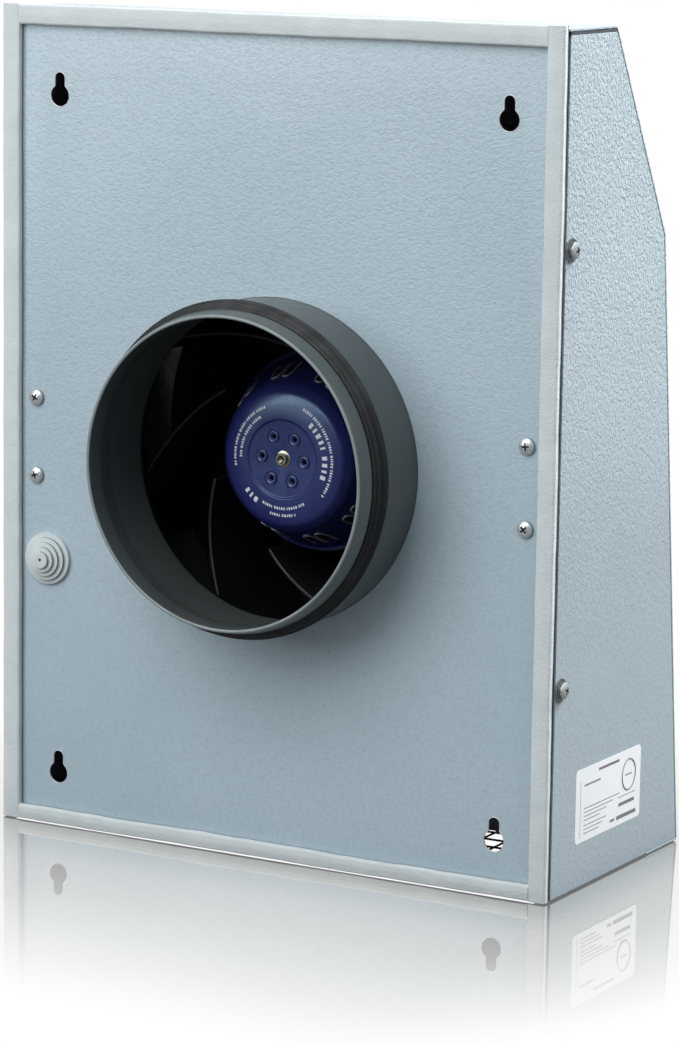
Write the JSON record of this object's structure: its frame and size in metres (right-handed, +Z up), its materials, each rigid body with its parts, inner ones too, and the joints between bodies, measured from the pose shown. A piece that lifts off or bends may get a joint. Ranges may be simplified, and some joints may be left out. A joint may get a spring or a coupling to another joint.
{
  "type": "wall-mounted centrifugal exhaust fan",
  "caption": "Box-shaped wall exhaust fan: folded steel casing with a slanted front, round duct spigot with lip seal, external-rotor motor and impeller, mesh-covered outlet below.",
  "frame": {"origin": "bottom centre of the whole object's box", "axes": "+Z up; the duct spigot and the foam seal face -Y, towards the wall; the slanted weather front faces +Y; the rating label is on the +X side"},
  "size_m": [0.3118, 0.1878, 0.4047],
  "materials": {
    "coated_steel": "embossed pale blue-grey coating, satin",
    "galvanised": "galvanised steel, dull",
    "zinc": "bright zinc plating",
    "foam": "closed-cell foam, pale grey, matte",
    "duct_grey": "smooth mid grey, satin",
    "seal_rubber": "dark brown-grey ribbed rubber",
    "grommet_rubber": "pale grey soft rubber",
    "motor_blue": "deep blue enamel, semi-gloss",
    "impeller_black": "black moulded plastic",
    "iron": "laminated iron",
    "copper": null,
    "label": "white film, thin printed rules, no lettering",
    "box_plastic": "black moulded plastic",
    "pale_plastic": "pale moulded plastic",
    "cable": "black cable sheath, matte"
  },
  "bodies": {
    "casing": {"back_plate": "coated_steel", "outer_cover": "coated_steel", "duct_spigot": "duct_grey", "spigot_seal": "seal_rubber", "cable_grommet": "grommet_rubber", "rating_label": "label", "outlet_guard": "galvanised", "motor_bracket": "galvanised", "stator_flange": "zinc", "stator_core": "iron", "winding_front": "copper", "winding_rear": "copper", "terminal_box": "box_plastic", "terminal_box_lid": "box_plastic", "terminal_block": "pale_plastic", "run_capacitor": "pale_plastic", "capacitor_clip": "galvanised", "motor_lead": "cable", "capacitor_lead": "cable", "foam_seal_left": "foam", "foam_seal_right": "foam", "foam_seal_top": "foam", "foam_seal_bottom": "foam", "bracket_screw_1": "zinc", "cover_screw_1": "zinc", "cover_washer_1": "zinc", "motor_screw_1": "zinc", "bracket_screw_2": "zinc", "cover_screw_2": "zinc", "cover_washer_2": "zinc", "motor_screw_2": "zinc", "bracket_screw_3": "zinc", "cover_screw_3": "zinc", "cover_washer_3": "zinc", "motor_screw_3": "zinc", "bracket_screw_4": "zinc", "cover_screw_4": "zinc", "cover_washer_4": "zinc", "motor_screw_4": "zinc", "lid_screw_1": "zinc", "lid_screw_2": "zinc", "bearing_outer_front": "zinc", "bearing_outer_rear": "zinc"},
    "rotor": {"rotor_cup": "motor_blue", "rotor_shaft": "zinc", "rotor_cage": "iron", "bearing_inner_front": "zinc", "bearing_inner_rear": "zinc", "shaft_circlip": "zinc", "impeller_hub": "impeller_black", "impeller_front_ring": "impeller_black", "impeller_blade_1": "impeller_black", "impeller_blade_2": "impeller_black", "impeller_blade_3": "impeller_black", "impeller_blade_4": "impeller_black", "impeller_blade_5": "impeller_black", "impeller_blade_6": "impeller_black", "impeller_blade_7": "impeller_black"}
  },
  "joints": [
    {"name": "impeller_spin", "type": "hinge", "parent": "casing", "child": "rotor", "pos_m": [0, 0.01035, 0.1935], "axis": [0, 1, 0], "continuous": true}
  ]
}
